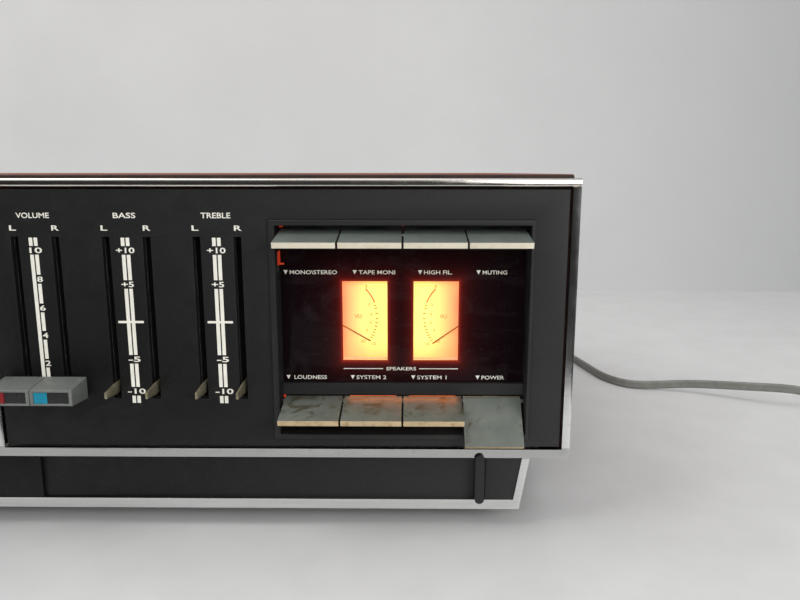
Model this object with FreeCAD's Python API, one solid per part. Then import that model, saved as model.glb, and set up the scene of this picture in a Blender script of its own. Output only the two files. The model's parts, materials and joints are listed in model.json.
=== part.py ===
import FreeCAD, Part
import math
import os

# A stereo receiver with slide controls, in millimetres.
# Every shape is drawn in panel coordinates: x from the centre line, y from the face of the
# front frame towards the back, z up from the lower edge of the front frame.
# save() moves a finished shape onto the part's origin, which is the middle of the floor
# that the set covers, at table height.

V = FreeCAD.Vector
X_AXIS = V(1, 0, 0)
Y_AXIS = V(0, 1, 0)
Z_AXIS = V(0, 0, 1)

# Driving dimensions
HALF_WIDTH = 230.0
FRAME_TOP = 133.8
FOOT_HEIGHT = 8.0
FRONT_REACH = 17.2  # how far the tuning knob stands out in front
REAR_REACH = 274.0  # how far back the cooling fins reach
ORIGIN_SHIFT = V(0, (FRONT_REACH - REAR_REACH) / 2, FOOT_HEIGHT)

# Front frame
RAIL = 3.1
RAIL_DEPTH = 3.5
TOP_RAIL_LOW = 130.5
MIDDLE_RAIL_LOW = 22.3
PANEL_LOW = 25.9
LOWER_RAIL_TOP = 4.1
DIVIDER_LEFT = -2.0
DIVIDER_RIGHT = 1.0
STRIP_END_TOP = 211.1  # inner edge of the slanting end, at the middle rail
STRIP_END_LOW = 207.3  # and at the floor of the frame
PANEL_GROOVE = 0.9
PANEL_FACE = 0.8

# Cabinet
WOOD = 10.0
CABINET_HALF = 228.0
CABINET_TOP = 135.3
CABINET_LOW = 24.0
CABINET_BACK = 262.0
SHEET = 1.2
INSIDE_HALF = CABINET_HALF - WOOD
INSIDE_TOP = CABINET_TOP - WOOD
FLOOR_TOP = CABINET_LOW + SHEET
PLATE_BACK = 5.0
REAR_FACE = 256.2

# Plinth and its covered compartment
PLINTH_BACK = 240.0
PLINTH_TOP_HALF = 213.0
PLINTH_LOW_HALF = 209.0
STRIP_FACE = 0.5
STRIP_BACK = 1.6
COVER_FACE = 1.9
COVER_BACK = 3.2
COVER_LEFT = 9.5
COVER_SEAM = 14.6
PULL_LEFT = 192.1
PULL_RIGHT = 195.9
TRAY_LEFT = 30.0
TRAY_RIGHT = 190.0
TRAY_LOW = 4.6
TRAY_TOP = 22.4
TRAY_BACK = 40.0
JACK_BORE = 3.2
JACK_X = (70.0, 100.0)
JACK_Z = 13.5
JACK_FACE = 36.5

# Slide controls
SLOT_WIDTH = 2.9
SLOT_LOW = 46.7
SLOT_TOP = 111.6
PAIR_CENTRES = {"volume": 21.05, "bass": 56.3, "treble": 91.3}
PAIR_HALF = 7.9
LEVER_REST = 51.3
LEVER_REACH = 10.0
LEVER_THICK = 1.0
LEVER_TIP_HALF = 1.2
LEVER_ROOT_HALF = 2.2
LEVER_BACK = 11.0
CAP_INNER = 7.75  # from the slot towards the other cap of the pair
CAP_OUTER = 8.4
CAP_FACE = -14.0
CAP_BACK = -1.0
CAP_WINDOW = 0.4  # depth of the sunk field in its front

# Key and meter module
MODULE_LEFT = 111.2
MODULE_RIGHT = 213.1
MODULE_LOW = 30.2
MODULE_TOP = 118.1
POCKET_LEFT = 113.6
POCKET_RIGHT = 211.9
POCKET_LOW = 32.2
POCKET_TOP = 116.0
BEZEL_FACE = -0.3
FACE_FRONT = 12.0
FACE_BACK = 13.5
GLASS_LOW = 50.9
GLASS_TOP = 105.5
LOWER_SILL_LOW = 45.9
SILL_FACE = 8.5
GLASS_FACE = 10.5
MODULE_CENTRE = 162.7
KEY_PITCH = 24.2
KEY_HALF = 11.7
KEY_LENGTH = 20.0
KEY_THICK = 2.2
KEY_PIVOT_Y = 8.0
UPPER_PIVOT_Z = 112.2
LOWER_PIVOT_Z = 43.7
KEY_REST_ANGLE = 9.5
KEY_TRAVEL = 40.0
BARREL = 1.9
SHAFT = 1.0
RUNNING = 0.05
ARM_REACH = 8.0
ARM_ANGLE = -40.5
KEYS = (
    ("key_stereo", "key_tape", "key_filter", "key_muting"),
    ("key_loudness", "key_speakers_b", "key_speakers_a", "key_power"),
)
PRESSED_KEY = "key_power"

# Meters
METER_X = (147.3, 176.2)
METER_HALF = 9.25
METER_LOW = 59.3
METER_TOP = 92.9
NEEDLE_PIVOT_OUT = 11.4  # from the middle of the window, outwards
NEEDLE_PIVOT_Z = 74.9
NEEDLE_LENGTH = 15.4
NEEDLE_REST_ANGLES = (30.0, 35.0)  # below level, left and right
DIAL_FACE = 18.0

# Tuner half
DIAL_LEFT = -214.0
DIAL_RIGHT = -70.0
DIAL_LOW = 46.0
DIAL_TOP = 118.0
DIAL_WALL = 2.0
DIAL_DEPTH = 18.0
POINTER_X = -142.0
POINTER_RAIL_Y = 16.5
POINTER_RAIL_Z = 53.0
KNOB_X = -36.0
TUNING_Z = 88.0
TUNING_RADIUS = 21.0
SELECTOR_Z = 45.0
SELECTOR_RADIUS = 11.0
KNOB_SHAFT = 3.0
KNOB_GAP = 0.2
BUSH = 5.0
PULLEY = 6.3

# Inside and rear
BOARD_LEFT = -60.0
BOARD_RIGHT = 200.0
BOARD_FRONT = 60.0
BOARD_BACK = 205.0
BOARD_LOW = 33.0
BOARD_TOP = 34.6
SINK_HALF = 66.0
FIN_PITCH = 10.0
FIN = 2.0
SCREW = 1.5
DIN_BORE = 6.7
DIN_OUTER = 8.5
DIN_DEPTH = 9.0
DIN_Z = 45.0
SIGNAL_X = (-196.0, -170.0, -144.0, -118.0, -92.0)
SPEAKER_X = (84.0, 104.0, 124.0, 144.0)
SPEAKER_HALF = 8.5

# Mains lead
EXIT_X = 185.0
EXIT_Z = 34.0
EXIT_Y = 281.0
CORD_RADIUS = 2.75
LIE = CORD_RADIUS + 0.1 - FOOT_HEIGHT
COIL_X = 468.0
COIL_Y = 102.0
COIL_OUTER = 41.0
COIL_INNER = 19.0
COIL_HEIGHT = 11.2
PLUG_X = 505.0
PLUG_Y = 20.0
CORD_ROUTE = [
    (EXIT_X, EXIT_Y, EXIT_Z),
    (187, 299, 30.5),
    (193, 317, 20),
    (206, 332, 7.5),
    (226, 338, -2),
    (248, 331, LIE),
    (266, 313, LIE),
    (280, 288, LIE),
    (291, 258, LIE),
    (297, 228, LIE),
    (302, 201, LIE),
    (314, 184, LIE),
    (332, 182, -4.6),
    (350, 178, -2.4),
    (366, 167.5, 0.2),
    (384, 156, 2.6),
    (403, 148, 4),
    (421, 142, 1.5),
    (437, 139, -4),
    (453, 138.4, LIE),
]


def block(x0, x1, y0, y1, z0, z1):
    return Part.makeBox(x1 - x0, y1 - y0, z1 - z0, V(x0, y0, z0))


def round_rod(x, y, z, radius, length, axis=Y_AXIS):
    return Part.makeCylinder(radius, length, V(x, y, z), axis)


def filled(points):
    return Part.Face(Part.makePolygon(points + points[:1]))


def along_x(outline, x0, x1):
    """A profile given in (y, z), carried along x."""
    return filled([V(x0, y, z) for y, z in outline]).extrude(V(x1 - x0, 0, 0))


def along_y(outline, y0, y1):
    """An outline given in (x, z), carried along y."""
    return filled([V(x, y0, z) for x, z in outline]).extrude(V(0, y1 - y0, 0))


def turned(outline, x, z):
    """A profile given in (radius, y), turned about the line along y through x and z."""
    face = filled([V(x + r, y, z) for r, y in outline])
    return face.revolve(V(x, 0, z), Y_AXIS, 360)


def joined(shapes):
    first = shapes[0]
    return first.fuse(shapes[1:]).removeSplitter() if shapes[1:] else first


def without(shape, tools):
    return shape.cut(tools) if tools else shape


def save(name, *solids):
    shape = solids[0] if len(solids) == 1 else Part.makeCompound(list(solids))
    shape = shape.copy()
    shape.translate(ORIGIN_SHIFT)
    shape.exportStep(f"parts/{name}.step")
    bad = [s for s in shape.Solids if not s.isValid() or s.Volume <= 0]
    print(f"{name}: {len(shape.Solids)} solids, {shape.Volume:.0f} mm3{' INVALID' if bad else ''}")


def slot_positions():
    """Name and x of each slide control, from left to right."""
    for group, centre in PAIR_CENTRES.items():
        yield f"{group}_left", centre - PAIR_HALF
        yield f"{group}_right", centre + PAIR_HALF


def key_x(index):
    return MODULE_CENTRE + (index - 1.5) * KEY_PITCH


# Front

def rounded_rail():
    """Top rail with rounded front corners, along its length."""
    rail = block(-HALF_WIDTH, HALF_WIDTH, 0, RAIL_DEPTH, TOP_RAIL_LOW, FRAME_TOP)
    front_edges = [
        e for e in rail.Edges
        if abs(e.BoundBox.YMin) < 1e-6 and abs(e.BoundBox.YMax) < 1e-6 and e.Length > HALF_WIDTH
    ]
    return rail.makeFillet(1.2, front_edges)


def strip_outline(left, right):
    """Opening between the middle and lower rails, from one x to another or to a slanting end."""
    slope = (STRIP_END_TOP - STRIP_END_LOW) / MIDDLE_RAIL_LOW
    low_end = STRIP_END_LOW + slope * LOWER_RAIL_TOP
    ends = {
        "left": ((-STRIP_END_TOP, MIDDLE_RAIL_LOW), (-low_end, LOWER_RAIL_TOP)),
        "right": ((STRIP_END_TOP, MIDDLE_RAIL_LOW), (low_end, LOWER_RAIL_TOP)),
    }
    start = ends["left"] if left == "end" else ((left, MIDDLE_RAIL_LOW), (left, LOWER_RAIL_TOP))
    finish = ends["right"] if right == "end" else ((right, MIDDLE_RAIL_LOW), (right, LOWER_RAIL_TOP))
    return [start[0], finish[0], finish[1], start[1]]


def front_frame():
    side = block(HALF_WIDTH - RAIL, HALF_WIDTH, 0, RAIL_DEPTH, MIDDLE_RAIL_LOW, TOP_RAIL_LOW)
    other_side = side.mirror(V(0, 0, 0), X_AXIS)
    middle = block(-HALF_WIDTH, HALF_WIDTH, 0, RAIL_DEPTH, MIDDLE_RAIL_LOW, PANEL_LOW)
    divider = block(DIVIDER_LEFT, DIVIDER_RIGHT, 0, RAIL_DEPTH, PANEL_LOW, TOP_RAIL_LOW)
    outer_top = STRIP_END_TOP + RAIL
    outer_low = STRIP_END_LOW + RAIL
    skirt = along_y(
        [(-outer_top, MIDDLE_RAIL_LOW), (outer_top, MIDDLE_RAIL_LOW), (outer_low, 0), (-outer_low, 0)],
        0, RAIL_DEPTH,
    )
    skirt = skirt.cut(along_y(strip_outline("end", "end"), -1, RAIL_DEPTH + 1))
    groove_left = COVER_LEFT - 172
    groove = block(groove_left, PULL_RIGHT + 0.4, COVER_FACE - 0.2, RAIL_DEPTH, 3.1, 23.9)
    return joined([rounded_rail(), side, other_side, middle, divider, skirt]).cut(groove)


def panel(left, right):
    return block(
        left + PANEL_GROOVE, right - PANEL_GROOVE, PANEL_FACE, RAIL_DEPTH,
        PANEL_LOW + PANEL_GROOVE, TOP_RAIL_LOW - PANEL_GROOVE,
    )


def front_openings(y0, y1):
    """Everything that is cut through the panels and the plate behind them."""
    half = SLOT_WIDTH / 2
    cuts = [block(x - half, x + half, y0, y1, SLOT_LOW, SLOT_TOP) for _, x in slot_positions()]
    cuts.append(block(MODULE_LEFT, MODULE_RIGHT, y0, y1, MODULE_LOW, MODULE_TOP))
    cuts.append(block(DIAL_LEFT, DIAL_RIGHT, y0, y1, DIAL_LOW, DIAL_TOP))
    for z in (TUNING_Z, SELECTOR_Z):
        cuts.append(round_rod(KNOB_X, y0, z, BUSH, y1 - y0))
    return cuts


def make_front():
    cuts = front_openings(-1, PLATE_BACK + 1)
    save("front_frame", front_frame())
    save("right_panel", without(panel(DIVIDER_RIGHT, HALF_WIDTH - RAIL), cuts))
    save("left_panel", without(panel(RAIL - HALF_WIDTH, DIVIDER_LEFT), cuts))
    plate = block(-INSIDE_HALF, INSIDE_HALF, RAIL_DEPTH, PLATE_BACK, FLOOR_TOP, INSIDE_TOP)
    save("front_plate", without(plate, cuts))
    save("fixed_strip", along_y(strip_outline("end", COVER_SEAM), STRIP_FACE, STRIP_BACK))
    save("strip_end", along_y(strip_outline(PULL_RIGHT + 0.5, "end"), STRIP_FACE, STRIP_BACK))


# Cabinet, chassis and plinth

def make_cabinet():
    outer = block(-CABINET_HALF, CABINET_HALF, RAIL_DEPTH, CABINET_BACK, CABINET_LOW, CABINET_TOP)
    hollow = block(-INSIDE_HALF, INSIDE_HALF, 0, CABINET_BACK + 1, 0, INSIDE_TOP)
    save("wood_cabinet", outer.cut(hollow))

    rear_front = REAR_FACE - SHEET
    floor = block(-INSIDE_HALF, INSIDE_HALF, RAIL_DEPTH, rear_front, CABINET_LOW, FLOOR_TOP)
    posts = [
        round_rod(x, y, FLOOR_TOP, 3, BOARD_LOW - FLOOR_TOP, Z_AXIS)
        for x in (BOARD_LEFT + 8, BOARD_RIGHT - 8)
        for y in (BOARD_FRONT + 8, BOARD_BACK - 8)
    ]
    save("chassis", floor)
    save("board_posts", *posts)

    rear = block(-INSIDE_HALF, INSIDE_HALF, rear_front, REAR_FACE, CABINET_LOW, INSIDE_TOP)
    holes = [round_rod(x, rear_front - 1, DIN_Z, DIN_OUTER, 4) for x in SIGNAL_X]
    for x in SPEAKER_X:
        low, top = DIN_Z - SPEAKER_HALF, DIN_Z + SPEAKER_HALF
        holes.append(block(x - SPEAKER_HALF, x + SPEAKER_HALF, rear_front - 1, REAR_FACE + 1, low, top))
    holes.append(round_rod(EXIT_X, rear_front - 1, EXIT_Z, 5, 4))
    holes += [round_rod(x, rear_front - 1, z, SCREW, 4) for x, z in rear_screws()]
    save("rear_panel", rear.cut(holes))


def trapezoid(top_half, low_half, y0, y1, low, top):
    return along_y([(-top_half, top), (top_half, top), (low_half, low), (-low_half, low)], y0, y1)


def make_plinth():
    wall = 2.0
    outer = trapezoid(PLINTH_TOP_HALF, PLINTH_LOW_HALF, RAIL_DEPTH, PLINTH_BACK, 0, CABINET_LOW)
    inner = trapezoid(
        PLINTH_TOP_HALF - wall, PLINTH_LOW_HALF - wall,
        PLATE_BACK, PLINTH_BACK - wall, wall, CABINET_LOW + 1,
    )
    window = block(TRAY_LEFT, TRAY_RIGHT, 0, PLATE_BACK + 1, TRAY_LOW, TRAY_TOP)
    save("plinth", outer.cut(inner).cut(window))

    tray = block(TRAY_LEFT, TRAY_RIGHT, RAIL_DEPTH, TRAY_BACK, TRAY_LOW, TRAY_TOP)
    hollow = block(
        TRAY_LEFT + SHEET, TRAY_RIGHT - SHEET, 0, TRAY_BACK - SHEET, TRAY_LOW + SHEET, TRAY_TOP - SHEET,
    )
    holes = [round_rod(x, TRAY_BACK - 3, JACK_Z, 5, 5) for x in JACK_X]
    save("socket_tray", tray.cut(hollow).cut(holes))

    jacks = []
    for x in JACK_X:
        nose = round_rod(x, JACK_FACE, JACK_Z, 5, TRAY_BACK - JACK_FACE)
        body = block(x - 8, x + 8, TRAY_BACK, 60, JACK_Z - 7, JACK_Z + 7)
        bore = round_rod(x, JACK_FACE - 1, JACK_Z, JACK_BORE, 18.5)
        jacks.append(nose.fuse(body).cut(bore))
    save("headphone_sockets", *jacks)

    feet = []
    for x in (-182, 182):
        for y in (34, 222):
            foot = Part.makeCone(8.0, 9.5, FOOT_HEIGHT, V(x, y, -FOOT_HEIGHT), Z_AXIS)
            feet.append(foot)
    save("feet", *feet)


def make_cover():
    cover = block(COVER_LEFT, PULL_RIGHT, COVER_FACE, COVER_BACK, 3.5, 23.5)
    save("sliding_cover", cover)
    web = block(PULL_LEFT, PULL_RIGHT, -0.3, COVER_FACE, 4.5, MIDDLE_RAIL_LOW - 0.3)
    grip_half = (PULL_RIGHT - PULL_LEFT) / 2
    middle = (PULL_LEFT + PULL_RIGHT) / 2
    grip = block(PULL_LEFT, PULL_RIGHT, -1.6, -0.3, 3.0 + grip_half, 23.9 - grip_half)
    ends = [round_rod(middle, -1.6, z, grip_half, 1.3) for z in (3.0 + grip_half, 23.9 - grip_half)]
    save("cover_pull", joined([web, grip] + ends))


# Slide controls

def lever(x):
    """Flat blade that runs in the slot, wider at its root than at its tip."""
    z = LEVER_REST
    outline = [
        (-LEVER_REACH, z - LEVER_TIP_HALF), (-LEVER_REACH, z + LEVER_TIP_HALF),
        (-1.0, z + LEVER_ROOT_HALF), (LEVER_BACK, z + LEVER_ROOT_HALF),
        (LEVER_BACK, z - LEVER_ROOT_HALF), (-1.0, z - LEVER_ROOT_HALF),
    ]
    return along_x(outline, x - LEVER_THICK / 2, x + LEVER_THICK / 2)


def cap(name, x):
    """Wedge-shaped finger cap with a sunk field in its front, pushed over a volume lever."""
    left, right = (CAP_OUTER, CAP_INNER) if name.endswith("left") else (CAP_INNER, CAP_OUTER)
    low = [(CAP_BACK, 47.4), (CAP_FACE, 48.6)]
    high = [(CAP_FACE, 54.8), (CAP_BACK, 56.3)]
    body = along_x(low + high, x - left, x + right)
    field = block(x - left + 1.3, x + right - 1.3, CAP_FACE - 1, CAP_FACE + CAP_WINDOW, 49.4, 53.9)
    return body.cut(field)


def make_slide_controls():
    bodies = []
    for name, x in slot_positions():
        blade = lever(x)
        if name.startswith("volume"):
            save(f"{name}_cap", cap(name, x).cut(blade))
        save(f"{name}_lever", blade)
        case = block(x - 5, x + 5, PLATE_BACK, 17, 42, 116)
        slot = block(x - SLOT_WIDTH / 2, x + SLOT_WIDTH / 2, 0, 13, 44.5, 114)
        bodies.append(case.cut(slot))
    save("slide_controls", *bodies)


# Key and meter module

def key(x, pivot_z, angle):
    """Rocker paddle on a barrel, with an arm behind the barrel that works its switch."""
    plate = block(x - KEY_HALF, x + KEY_HALF, -KEY_LENGTH, 0, BARREL - KEY_THICK, BARREL)
    barrel = round_rod(x - KEY_HALF, 0, 0, BARREL, 2 * KEY_HALF, X_AXIS)
    arm = block(x - 3, x + 3, 0, ARM_REACH, -0.8, 0.8)
    arm.rotate(V(x, 0, 0), X_AXIS, ARM_ANGLE)
    bore = round_rod(x - KEY_HALF - 1, 0, 0, SHAFT + RUNNING, 2 * KEY_HALF + 2, X_AXIS)
    whole = joined([plate, barrel, arm]).cut(bore)
    whole.rotate(V(x, 0, 0), X_AXIS, angle)
    whole.translate(V(0, KEY_PIVOT_Y, pivot_z))
    return whole


def make_keys():
    for row, pivot_z in zip(KEYS, (UPPER_PIVOT_Z, LOWER_PIVOT_Z)):
        for index, name in enumerate(row):
            angle = KEY_REST_ANGLE + (KEY_TRAVEL if name == PRESSED_KEY else 0)
            save(name, key(key_x(index), pivot_z, angle))
    shafts = [
        round_rod(POCKET_LEFT, KEY_PIVOT_Y, z, SHAFT, POCKET_RIGHT - POCKET_LEFT, X_AXIS)
        for z in (UPPER_PIVOT_Z, LOWER_PIVOT_Z)
    ]
    save("key_shafts", *shafts)


def make_module():
    outer = block(MODULE_LEFT, MODULE_RIGHT, BEZEL_FACE, FACE_BACK, MODULE_LOW, MODULE_TOP)
    pocket = block(POCKET_LEFT, POCKET_RIGHT, BEZEL_FACE - 1, FACE_BACK + 1, POCKET_LOW, POCKET_TOP)
    lower_sill = block(POCKET_LEFT, POCKET_RIGHT, SILL_FACE, FACE_FRONT, LOWER_SILL_LOW, GLASS_LOW)
    save("module_bezel", joined([outer.cut(pocket), lower_sill]))

    face = block(POCKET_LEFT, POCKET_RIGHT, FACE_FRONT, FACE_BACK, POCKET_LOW, POCKET_TOP)
    cuts = [
        block(x - METER_HALF, x + METER_HALF, FACE_FRONT - 1, FACE_BACK + 1, METER_LOW, METER_TOP)
        for x in METER_X
    ]
    for pivot_z in (UPPER_PIVOT_Z, LOWER_PIVOT_Z):
        for index in range(4):
            x = key_x(index)
            cuts.append(block(x - 5, x + 5, FACE_FRONT - 1, FACE_BACK + 1, pivot_z - 5.5, pivot_z + 2.1))
    save("module_face", face.cut(cuts))
    save("module_glass", block(POCKET_LEFT, POCKET_RIGHT, GLASS_FACE, FACE_FRONT, GLASS_LOW, GLASS_TOP))


def switch(x, pivot_z):
    """Closed switch body on two ears that stand on the module's face."""
    body = block(x - 10, x + 10, 17, 38, pivot_z - 7, pivot_z + 5)
    ears = [block(x + s - 1, x + s + 1, FACE_BACK, 17, pivot_z - 4, pivot_z + 2) for s in (-9, 9)]
    return joined([body] + ears)


def make_switches():
    bodies = [switch(key_x(i), z) for z in (UPPER_PIVOT_Z, LOWER_PIVOT_Z) for i in range(4)]
    rotary = round_rod(KNOB_X, 16, SELECTOR_Z, 15, 12)
    hole = round_rod(KNOB_X, 15, SELECTOR_Z, KNOB_SHAFT + RUNNING, 20)
    bodies.append(rotary.cut(hole))
    save("switch_bodies", *bodies)


def make_meters():
    cases, dials, lamps = [], [], []
    for name, x, out, rest in zip(("left", "right"), METER_X, (-1, 1), NEEDLE_REST_ANGLES):
        inner = x - out * 10.2
        pivot_x = x + out * NEEDLE_PIVOT_OUT
        outer = x + out * 15.2
        edges = sorted((inner, outer))
        case = block(edges[0] - 1.2, edges[1] + 1.2, FACE_BACK, 34, METER_LOW - 3.2, METER_TOP + 3.2)
        hollow = block(edges[0], edges[1], FACE_BACK - 1, 32.8, METER_LOW - 2, METER_TOP + 2)
        pin = round_rod(pivot_x, 14.2, NEEDLE_PIVOT_Z, 0.5, DIAL_FACE - 14.2)
        cases.append(case.cut(hollow))
        dial = block(edges[0], edges[1], DIAL_FACE, DIAL_FACE + 0.8, METER_LOW - 2, METER_TOP + 2)
        dials.append(dial.fuse(pin).removeSplitter())
        lamps.append(round_rod(x, 26, METER_LOW + 6, 2.6, METER_TOP - METER_LOW - 12, Z_AXIS))
        lamps.append(block(x - 3, x + 3, 25, 32.8, METER_LOW + 1, METER_LOW + 6))

        hub = round_rod(pivot_x, 14.6, NEEDLE_PIVOT_Z, 1.6, 1.4)
        blade = block(-NEEDLE_LENGTH, 0, 14.9, 15.3, -0.25, 0.25)
        blade.rotate(V(0, 0, 0), Y_AXIS, -rest)
        if out < 0:
            blade = blade.mirror(V(0, 0, 0), X_AXIS)
        blade.translate(V(pivot_x, 0, NEEDLE_PIVOT_Z))
        bore = round_rod(pivot_x, 14, NEEDLE_PIVOT_Z, 0.5 + RUNNING, 3)
        save(f"{name}_needle", joined([hub, blade]).cut(bore))
    save("meter_cases", *cases)
    save("meter_dials", *dials)
    save("meter_lamps", *lamps)


# Tuner half

def make_tuner():
    outer = block(DIAL_LEFT, DIAL_RIGHT, BEZEL_FACE, DIAL_DEPTH, DIAL_LOW, DIAL_TOP)
    inside = [DIAL_LEFT + DIAL_WALL, DIAL_RIGHT - DIAL_WALL]
    low, top = DIAL_LOW + DIAL_WALL, DIAL_TOP - DIAL_WALL
    save("dial_bezel", outer.cut(block(*inside, BEZEL_FACE - 1, DIAL_DEPTH + 1, low, top)))
    save("dial_glass", block(*inside, 3.0, 4.5, low, top))
    save("dial_plate", block(*inside, 13.0, 14.2, POINTER_RAIL_Z + 7, top))
    rail_length = inside[1] - inside[0]
    save("pointer_rail", round_rod(inside[0], POINTER_RAIL_Y, POINTER_RAIL_Z, SHAFT, rail_length, X_AXIS))
    needle = block(POINTER_X - 0.4, POINTER_X + 0.4, 10.0, 10.8, 54, 112)
    carrier = block(POINTER_X - 5, POINTER_X + 5, 10.0, 19.0, POINTER_RAIL_Z - 2.5, POINTER_RAIL_Z + 3)
    bore = round_rod(POINTER_X - 6, POINTER_RAIL_Y, POINTER_RAIL_Z, SHAFT + RUNNING, 12, X_AXIS)
    save("dial_pointer", joined([needle, carrier]).cut(bore))


def knob(radius, depth, z):
    """Turned knob with a chamfered front edge, blind bored for its shaft."""
    outline = [(0, 0), (radius, 0), (radius - 0.6, depth - 1.6), (radius - 2.0, depth), (0, depth)]
    outline = [(r, -KNOB_GAP - d) for r, d in outline]
    body = turned(outline, KNOB_X, z)
    return body.cut(round_rod(KNOB_X, 1 - depth, z, KNOB_SHAFT, depth))


def make_knobs():
    save("tuning_knob", knob(TUNING_RADIUS, FRONT_REACH - KNOB_GAP, TUNING_Z))
    shaft = round_rod(KNOB_X, -14, TUNING_Z, KNOB_SHAFT, 58)
    pulley = [
        round_rod(KNOB_X, 24, TUNING_Z, PULLEY + 2, 1),
        round_rod(KNOB_X, 25, TUNING_Z, PULLEY, 3),
        round_rod(KNOB_X, 28, TUNING_Z, PULLEY + 2, 1),
    ]
    flywheel = round_rod(KNOB_X, 32, TUNING_Z, 19, 7)
    save("tuning_shaft", joined([shaft, flywheel] + pulley))

    selector = knob(SELECTOR_RADIUS, 14, SELECTOR_Z)
    save("selector_knob", selector.fuse(round_rod(KNOB_X, -13, SELECTOR_Z, KNOB_SHAFT, 44)).removeSplitter())
    bushes = []
    for z in (TUNING_Z, SELECTOR_Z):
        sleeve = round_rod(KNOB_X, 1.0, z, BUSH, 12)
        flange = round_rod(KNOB_X, PLATE_BACK, z, 8, 2.5)
        bore = round_rod(KNOB_X, 0, z, KNOB_SHAFT + RUNNING, 20)
        bushes.append(joined([sleeve, flange]).cut(bore))
    save("shaft_bushes", *bushes)


# Inside

def rear_screws():
    """x and z of the screws that hold the rear panel."""
    return [(x, z) for z in (29.5, 119.5) for x in (-208.0, 0.0, 208.0)]


def make_inside():
    board = block(BOARD_LEFT, BOARD_RIGHT, BOARD_FRONT, BOARD_BACK, BOARD_LOW, BOARD_TOP)
    fitted = [round_rod(x, 180, BOARD_TOP, 14, 52, Z_AXIS) for x in (-38, -4)]
    places = [(25 + 20 * i, 80 + 34 * j) for i in range(8) for j in range(3)]
    fitted += [round_rod(x, y, BOARD_TOP, 4, 14, Z_AXIS) for x, y in places]
    fitted += [block(30 + 42 * i, 50 + 42 * i, 165, 195, BOARD_TOP, BOARD_TOP + 18) for i in range(4)]
    save("amplifier_board", board)
    save("board_parts", *fitted)

    core = block(-185, -110, 150, 210, FLOOR_TOP, 87)
    winding = block(-172, -123, 138, 222, 34, 78)
    lugs = block(-195, -100, 165, 195, FLOOR_TOP, 27.5)
    save("transformer", joined([core, winding, lugs]))

    base = block(-SINK_HALF, SINK_HALF, REAR_FACE, 260, 38, 114)
    fins = []
    for i in range(14):
        left = FIN_PITCH * i - SINK_HALF
        fins.append(block(left, left + FIN, 260, REAR_REACH, 38, 114))
    save("heat_sink", joined([base] + fins))


def make_rear():
    sockets = []
    for x in SIGNAL_X:
        body = round_rod(x, REAR_FACE - 12, DIN_Z, DIN_OUTER, 12)
        rim = round_rod(x, REAR_FACE, DIN_Z, DIN_OUTER + 1.2, 1.5)
        bore = round_rod(x, REAR_FACE + 1.5 - DIN_DEPTH, DIN_Z, DIN_BORE, DIN_DEPTH + 1)
        sockets.append(joined([body, rim]).cut(bore))
    for x in SPEAKER_X:
        low, top = DIN_Z - SPEAKER_HALF, DIN_Z + SPEAKER_HALF
        body = block(x - SPEAKER_HALF, x + SPEAKER_HALF, REAR_FACE - 10, REAR_FACE, low, top)
        rim = block(x - 9.5, x + 9.5, REAR_FACE, REAR_FACE + 1.5, DIN_Z - 9.5, DIN_Z + 9.5)
        pin_hole = round_rod(x, REAR_FACE - 7, DIN_Z + 3.5, 1.3, 10)
        blade_hole = block(x - 0.8, x + 0.8, REAR_FACE - 7, REAR_FACE + 3, DIN_Z - 5, DIN_Z)
        sockets.append(joined([body, rim]).cut([pin_hole, blade_hole]))
    save("rear_sockets", *sockets)
    heads = []
    for x, z in rear_screws():
        shank = round_rod(x, REAR_FACE - 6, z, SCREW, 6)
        head = round_rod(x, REAR_FACE, z, 2.9, 1.8)
        heads.append(joined([shank, head]))
    save("screws", *heads)


# Mains lead

def tube(route, radius):
    """Round tube along straight runs joined by arcs as large as the runs allow."""
    points = [V(*p) for p in route]
    edges = []
    here = points[0]
    for before, corner, after in zip(points, points[1:], points[2:]):
        back = before - corner
        on = after - corner
        shorter = min(back.Length, on.Length)
        turn = math.pi - back.getAngle(on)
        cut = 0.45 * shorter
        bend = cut / math.tan(turn / 2)
        back.normalize()
        on.normalize()
        start = corner + back * cut
        end = corner + on * cut
        halfway = back + on
        halfway.normalize()
        middle = corner + halfway * (bend / math.cos(turn / 2) - bend)
        edges.append(Part.LineSegment(here, start).toShape())
        edges.append(Part.Arc(start, middle, end).toShape())
        here = end
        print(f"  run {shorter:.1f}, turn {math.degrees(turn):.0f} degrees, radius {bend:.1f}")
    edges.append(Part.LineSegment(here, points[-1]).toShape())
    path = Part.Wire(edges)
    start_direction = points[1] - points[0]
    ring = Part.Wire(Part.makeCircle(radius, points[0], start_direction))
    solid = path.makePipeShell([ring], True, True)
    print(f"  volume {solid.Volume:.0f}, section times length {math.pi * radius ** 2 * path.Length:.0f}")
    print(f"  length {path.Length:.0f}")
    return solid


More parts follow.
